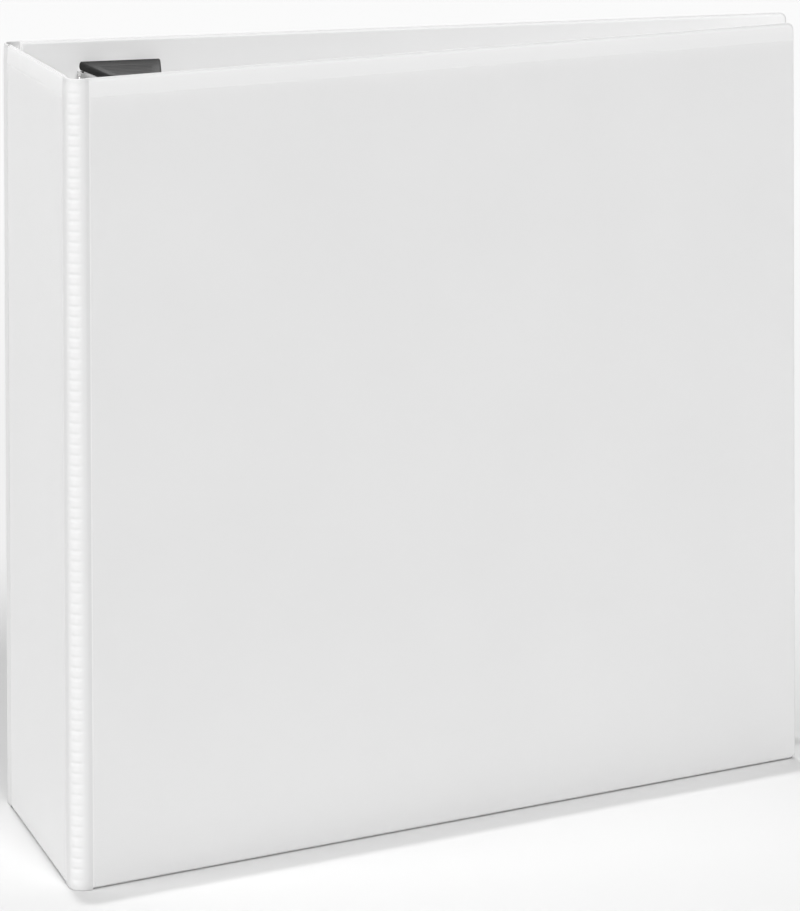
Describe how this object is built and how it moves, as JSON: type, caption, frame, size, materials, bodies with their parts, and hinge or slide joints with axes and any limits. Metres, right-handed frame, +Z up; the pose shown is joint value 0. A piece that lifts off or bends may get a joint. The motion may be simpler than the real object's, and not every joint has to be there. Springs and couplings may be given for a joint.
{
  "type": "ring binder",
  "caption": "Wide-spine view binder with padded white covers under a clear pocket, and a back-mounted slanted-D ring mechanism with black levers.",
  "frame": {"origin": "on the floor, at the middle of the spine panel's lower edge, in the middle of the panel's thickness", "axes": "+Z up along the binder's height as it stands, +X from the spine to the fore-edges, -Y to the front cover, +Y to the back cover that carries the rings"},
  "size_m": [0.328, 0.1226, 0.298],
  "materials": {
    "white_vinyl": "satin",
    "lining_vinyl": "matte",
    "welded_film": "satin",
    "clear_film": "satin",
    "pocket_film": "satin",
    "greyboard": "matte",
    "nickel_plate": "polished",
    "spring_steel": "satin",
    "black_plastic": "satin"
  },
  "bodies": {
    "spine": {"spine_board": "greyboard", "spine_outer_skin": "white_vinyl", "spine_lining": "lining_vinyl", "spine_clear_overlay": "clear_film", "front_hinge_film": "welded_film", "back_hinge_film": "welded_film"},
    "front_cover": {"front_board": "greyboard", "front_outer_skin": "white_vinyl", "front_lining": "lining_vinyl", "front_clear_overlay": "clear_film", "front_lining_pocket": "pocket_film"},
    "back_cover": {"back_board": "greyboard", "back_outer_skin": "white_vinyl", "back_lining": "lining_vinyl", "back_clear_overlay": "clear_film", "back_lining_pocket": "pocket_film", "ring_housing": "nickel_plate", "lower_rivet": "nickel_plate", "upper_rivet": "nickel_plate", "top_lever_pin": "spring_steel", "bottom_lever_pin": "spring_steel"},
    "spine_side_rings": {"spine_side_blade": "spring_steel", "lower_ring_spine_side": "nickel_plate", "middle_ring_spine_side": "nickel_plate", "upper_ring_spine_side": "nickel_plate"},
    "fore_edge_side_rings": {"fore_edge_side_blade": "spring_steel", "lower_ring_fore_edge_side": "nickel_plate", "middle_ring_fore_edge_side": "nickel_plate", "upper_ring_fore_edge_side": "nickel_plate"},
    "top_lever": {"top_lever_arm": "spring_steel", "top_lever_grip": "black_plastic"},
    "bottom_lever": {"bottom_lever_arm": "spring_steel", "bottom_lever_grip": "black_plastic"}
  },
  "joints": [
    {"name": "front_cover_fold", "type": "hinge", "parent": "spine", "child": "front_cover", "pos_m": [-0.00009, -0.05993, 0], "axis": [0, 0, -1], "range_deg": [0, 170], "deforming": ["front_hinge_film"]},
    {"name": "back_cover_fold", "type": "hinge", "parent": "spine", "child": "back_cover", "pos_m": [-0.00009, 0.06039, 0], "axis": [0, 0, 1], "range_deg": [0, 170], "deforming": ["back_hinge_film"]},
    {"name": "ring_opening", "type": "hinge", "parent": "back_cover", "child": "spine_side_rings", "pos_m": [0.02995, 0.05516, 0.149], "axis": [0, 0, -1], "range_deg": [0, 12]},
    {"name": "fore_edge_ring_opening", "type": "hinge", "parent": "back_cover", "child": "fore_edge_side_rings", "pos_m": [0.05855, 0.05491, 0.149], "axis": [0, 0, 1], "range_deg": [0, 12]},
    {"name": "top_lever_throw", "type": "hinge", "parent": "back_cover", "child": "top_lever", "pos_m": [0.04424, 0.05354, 0.283], "axis": [-1, 0.0087, 0], "range_deg": [0, 27.6]},
    {"name": "bottom_lever_throw", "type": "hinge", "parent": "back_cover", "child": "bottom_lever", "pos_m": [0.04424, 0.05354, 0.015], "axis": [1, -0.0087, 0], "range_deg": [0, 27.6]}
  ],
  "couplings": [
    {"joint": "fore_edge_ring_opening", "follows": "ring_opening", "ratio": 1},
    {"joint": "top_lever_throw", "follows": "ring_opening", "ratio": 2.3},
    {"joint": "bottom_lever_throw", "follows": "ring_opening", "ratio": 2.3}
  ]
}
